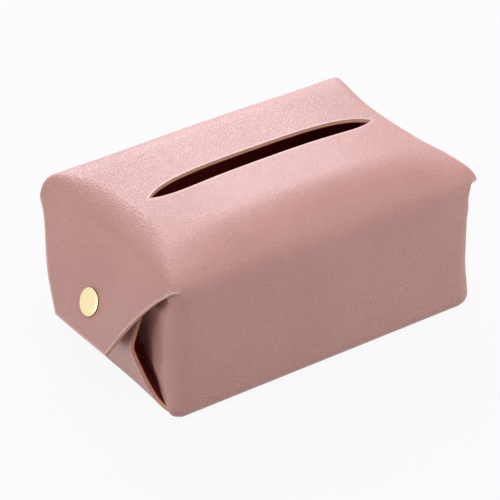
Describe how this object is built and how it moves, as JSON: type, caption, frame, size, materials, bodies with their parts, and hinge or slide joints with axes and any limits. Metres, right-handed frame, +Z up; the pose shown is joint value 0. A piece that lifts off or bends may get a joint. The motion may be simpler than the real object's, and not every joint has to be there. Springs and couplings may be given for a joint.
{
  "type": "tissue box cover",
  "caption": "Soft leather tissue box cover folded from one sheet, with a slot in the top, folding end flaps closed by press studs, and a riveted base lap.",
  "frame": {"origin": "middle of the base on the table, under the middle of the cover", "axes": "+X along the length toward the right end, +Y toward the back wall, +Z up"},
  "size_m": [0.2156, 0.118, 0.094],
  "materials": {
    "pink_leather": "satin, fine pebbled grain",
    "gold_metal": "polished"
  },
  "bodies": {
    "cover": {"leather_wrap": "pink_leather", "left_rivet": "gold_metal", "left_rivet_cap": "gold_metal", "right_rivet": "gold_metal", "right_rivet_cap": "gold_metal"},
    "left_flap_body": {"left_end_flap": "pink_leather", "left_snap_cap": "gold_metal", "left_snap_socket": "gold_metal"},
    "left_under_body": {"left_under_flap": "pink_leather", "left_snap_stud": "gold_metal", "left_snap_eyelet": "gold_metal"},
    "left_front_body": {"left_front_gusset": "pink_leather"},
    "left_back_body": {"left_back_gusset": "pink_leather"},
    "right_flap_body": {"right_end_flap": "pink_leather", "right_snap_cap": "gold_metal", "right_snap_socket": "gold_metal"},
    "right_under_body": {"right_under_flap": "pink_leather", "right_snap_stud": "gold_metal", "right_snap_eyelet": "gold_metal"},
    "right_front_body": {"right_front_gusset": "pink_leather"},
    "right_back_body": {"right_back_gusset": "pink_leather"}
  },
  "joints": [
    {"name": "left_flap_fold", "type": "hinge", "parent": "cover", "child": "left_flap_body", "pos_m": [-0.08603, 0, 0.07879], "axis": [0, 1, 0], "range_deg": [0, 95]},
    {"name": "left_under_fold", "type": "hinge", "parent": "cover", "child": "left_under_body", "pos_m": [-0.08902, 0, 0.00638], "axis": [0, -1, 0], "range_deg": [0, 56]},
    {"name": "left_front_fold", "type": "hinge", "parent": "cover", "child": "left_front_body", "pos_m": [-0.08, -0.058, 0.039], "axis": [0, 0, 1], "range_deg": [0, 91]},
    {"name": "left_back_fold", "type": "hinge", "parent": "cover", "child": "left_back_body", "pos_m": [-0.08, 0.058, 0.039], "axis": [0, 0, -1], "range_deg": [0, 91]},
    {"name": "right_flap_fold", "type": "hinge", "parent": "cover", "child": "right_flap_body", "pos_m": [0.08603, 0, 0.07879], "axis": [0, -1, 0], "range_deg": [0, 95]},
    {"name": "right_under_fold", "type": "hinge", "parent": "cover", "child": "right_under_body", "pos_m": [0.08902, 0, 0.00638], "axis": [0, 1, 0], "range_deg": [0, 56]},
    {"name": "right_front_fold", "type": "hinge", "parent": "cover", "child": "right_front_body", "pos_m": [0.08, -0.058, 0.039], "axis": [0, 0, -1], "range_deg": [0, 91]},
    {"name": "right_back_fold", "type": "hinge", "parent": "cover", "child": "right_back_body", "pos_m": [0.08, 0.058, 0.039], "axis": [0, 0, 1], "range_deg": [0, 91]}
  ],
  "couplings": [
    {"joint": "left_under_fold", "follows": "left_flap_fold", "ratio": 0.57895},
    {"joint": "left_front_fold", "follows": "left_flap_fold", "ratio": 0.94737},
    {"joint": "left_back_fold", "follows": "left_flap_fold", "ratio": 0.94737},
    {"joint": "right_under_fold", "follows": "right_flap_fold", "ratio": 0.57895},
    {"joint": "right_front_fold", "follows": "right_flap_fold", "ratio": 0.94737},
    {"joint": "right_back_fold", "follows": "right_flap_fold", "ratio": 0.94737}
  ]
}
